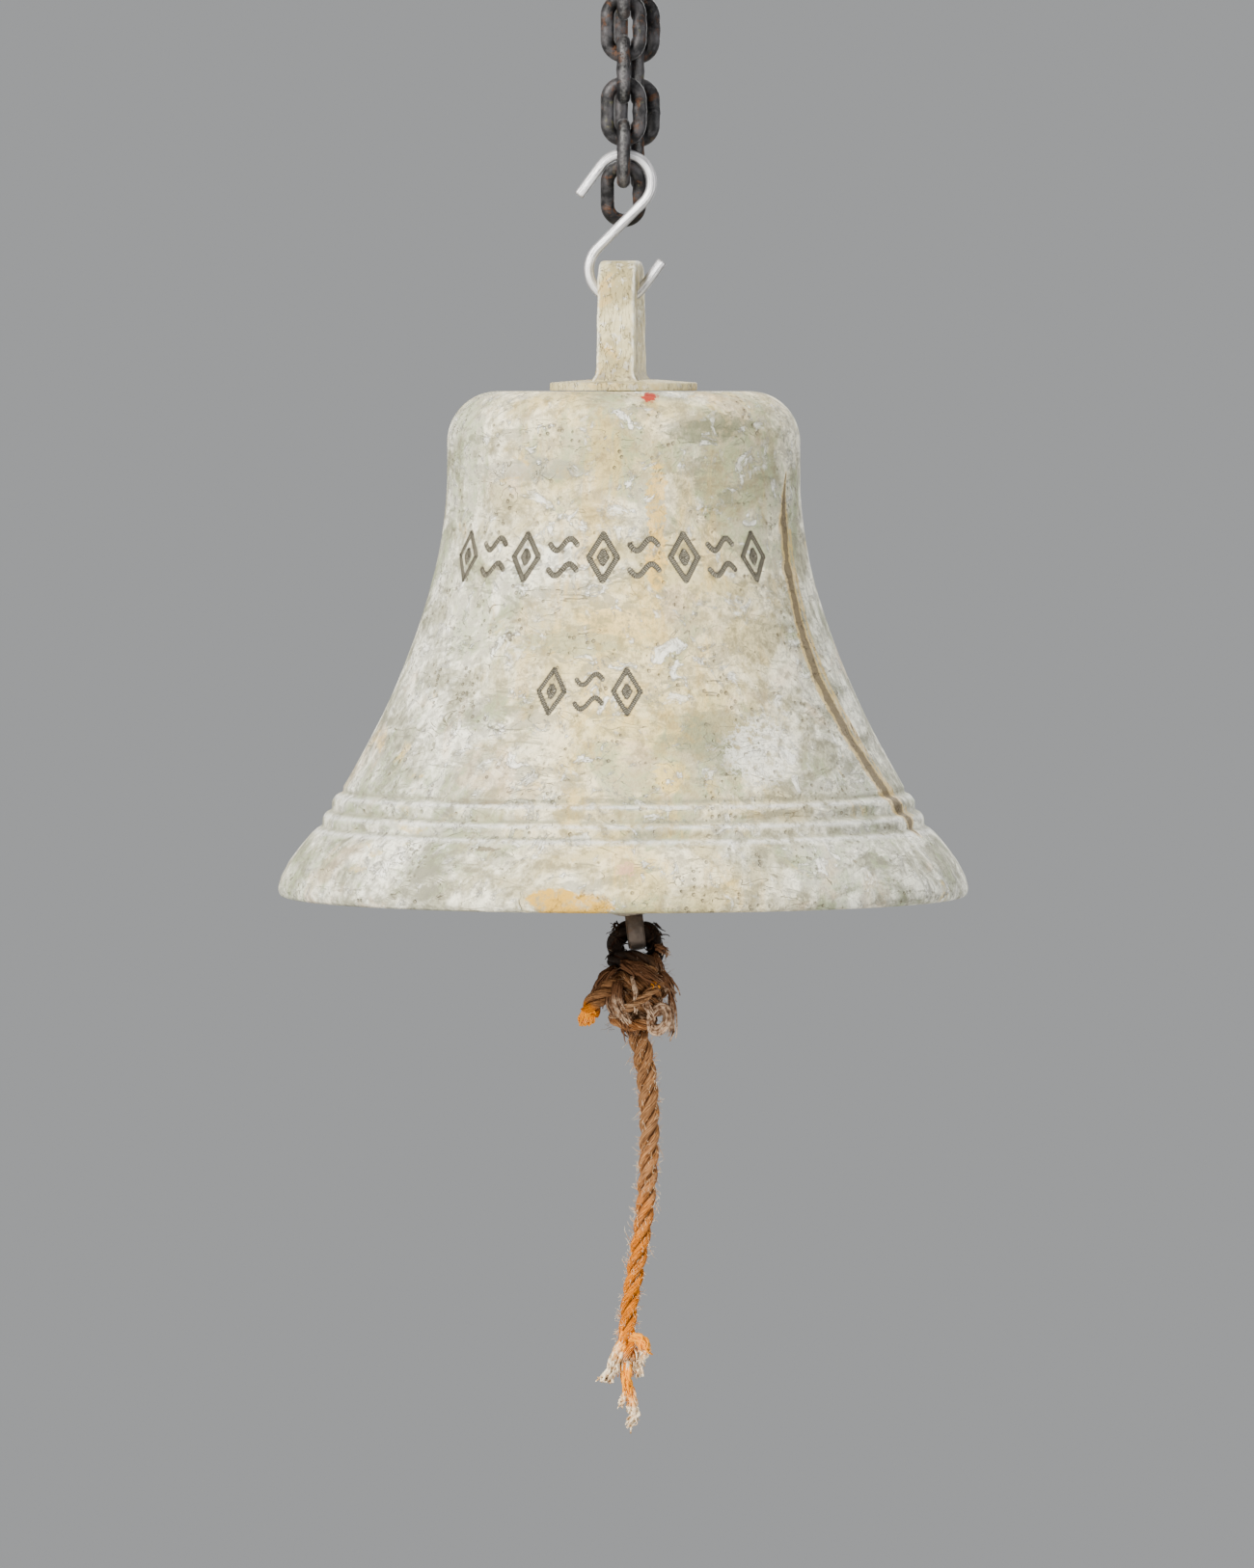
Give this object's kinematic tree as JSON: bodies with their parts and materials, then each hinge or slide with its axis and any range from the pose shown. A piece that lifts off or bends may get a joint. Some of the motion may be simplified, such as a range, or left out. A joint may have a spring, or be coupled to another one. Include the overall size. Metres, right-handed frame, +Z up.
{
  "type": "ship bell",
  "caption": "Flared bronze ship bell on a short-link chain and an S-hook, with an iron clapper and a knotted rope lanyard.",
  "frame": {"origin": "centre line of the loaded chain strand, on the top face of the eye plate that lies against the ceiling", "axes": "+Z up, +X to the right and -Y towards a person who faces the engraved front of the bell"},
  "size_m": [0.3006, 0.3006, 0.6586],
  "materials": {
    "eye_plate": "dark rusty steel",
    "chain": "dark steel, worn bright on the edges, a little rust",
    "hook": "bright zinc-plated wire with lengthwise draw marks",
    "bell": "bronze under a whitish patina, pitted and scratched",
    "crown": "bronze with a yellowish patina",
    "clapper": "rusty brown iron",
    "rope": "old brown three-strand rope",
    "rope_end": "orange rope with pale frayed fibres"
  },
  "bodies": {
    "eye_plate": {"ceiling_eye_plate": "eye_plate"},
    "link_a1": {"chain_a_link_1": "chain"},
    "link_a2": {"chain_a_link_2": "chain"},
    "link_a3": {"chain_a_link_3": "chain"},
    "link_a4": {"chain_a_link_4": "chain"},
    "link_a5": {"chain_a_link_5": "chain"},
    "link_b1": {"chain_b_link_1": "chain"},
    "link_b2": {"chain_b_link_2": "chain"},
    "link_b3": {"chain_b_link_3": "chain"},
    "link_b4": {"chain_b_link_4": "chain"},
    "link_b5": {"chain_b_link_5": "chain"},
    "link_a6": {"chain_a_link_6": "chain"},
    "hook": {"s_hook": "hook"},
    "bell": {"bell_shell": "bell", "crown_lug": "crown", "crown_washer": "crown", "crown_nut": "crown", "clapper_eye": "clapper"},
    "clapper": {"clapper_rod": "clapper", "clapper_ball": "clapper"},
    "lanyard": {"lanyard_bight": "rope", "lanyard_knot": "rope", "lanyard_fall": "rope", "lanyard_end": "rope_end"}
  },
  "joints": [
    {"name": "chain_a1", "type": "hinge", "parent": "eye_plate", "child": "link_a1", "pos_m": [0, 0, -0.02165], "axis": [1, 0, 0], "range_deg": [-16, 16]},
    {"name": "chain_a2", "type": "hinge", "parent": "link_a1", "child": "link_a2", "pos_m": [0, 0, -0.03935], "axis": [0, 1, 0], "range_deg": [-12, 12]},
    {"name": "chain_a3", "type": "hinge", "parent": "link_a2", "child": "link_a3", "pos_m": [0, 0, -0.05755], "axis": [1, 0, 0], "range_deg": [-5, 5]},
    {"name": "chain_a4", "type": "hinge", "parent": "link_a3", "child": "link_a4", "pos_m": [0, 0, -0.07575], "axis": [0, 1, 0], "range_deg": [-6, 6]},
    {"name": "chain_a5", "type": "hinge", "parent": "link_a4", "child": "link_a5", "pos_m": [0, 0, -0.09395], "axis": [1, 0, 0], "range_deg": [-5, 5]},
    {"name": "chain_b1", "type": "hinge", "parent": "eye_plate", "child": "link_b1", "pos_m": [0.006, 0.0185, -0.02165], "axis": [1, 0, 0], "range_deg": [-16, 16]},
    {"name": "chain_b2", "type": "hinge", "parent": "link_b1", "child": "link_b2", "pos_m": [0.006, 0.0185, -0.03935], "axis": [0, 1, 0], "range_deg": [-12, 12]},
    {"name": "chain_b3", "type": "hinge", "parent": "link_b2", "child": "link_b3", "pos_m": [0.006, 0.0185, -0.05755], "axis": [1, 0, 0], "range_deg": [-5, 5]},
    {"name": "chain_b4", "type": "hinge", "parent": "link_b3", "child": "link_b4", "pos_m": [0.006, 0.0185, -0.07575], "axis": [0, 1, 0], "range_deg": [-6, 6]},
    {"name": "chain_b5", "type": "hinge", "parent": "link_b4", "child": "link_b5", "pos_m": [0.006, 0.0185, -0.09395], "axis": [1, 0, 0], "range_deg": [-5, 5]},
    {"name": "chain_tail", "type": "hinge", "parent": "link_a5", "child": "link_a6", "pos_m": [0, 0, -0.10585], "axis": [1, 0, 0], "range_deg": [0, 6]},
    {"name": "hook_swing", "type": "hinge", "parent": "link_a5", "child": "hook", "pos_m": [0, 0, -0.1125], "axis": [0, 1, 0], "range_deg": [-15, 15]},
    {"name": "bell_swing", "type": "hinge", "parent": "hook", "child": "bell", "pos_m": [-0.002, 0, -0.16335], "axis": [1, 0, 0], "range_deg": [-20, 20]},
    {"name": "clapper_swing", "type": "hinge", "parent": "bell", "child": "clapper", "pos_m": [0, 0, -0.251], "axis": [0, 1, 0], "range_deg": [-34, 35.4]},
    {"name": "lanyard_swing", "type": "hinge", "parent": "clapper", "child": "lanyard", "pos_m": [0.00521, 0, -0.43816], "axis": [1, 0, 0], "range_deg": [-25, 25]}
  ],
  "couplings": [
    {"joint": "chain_b1", "follows": "chain_a1", "ratio": 1},
    {"joint": "chain_b2", "follows": "chain_a2", "ratio": 1},
    {"joint": "chain_b3", "follows": "chain_a3", "ratio": 1},
    {"joint": "chain_b4", "follows": "chain_a4", "ratio": 1},
    {"joint": "chain_b5", "follows": "chain_a5", "ratio": 1}
  ]
}
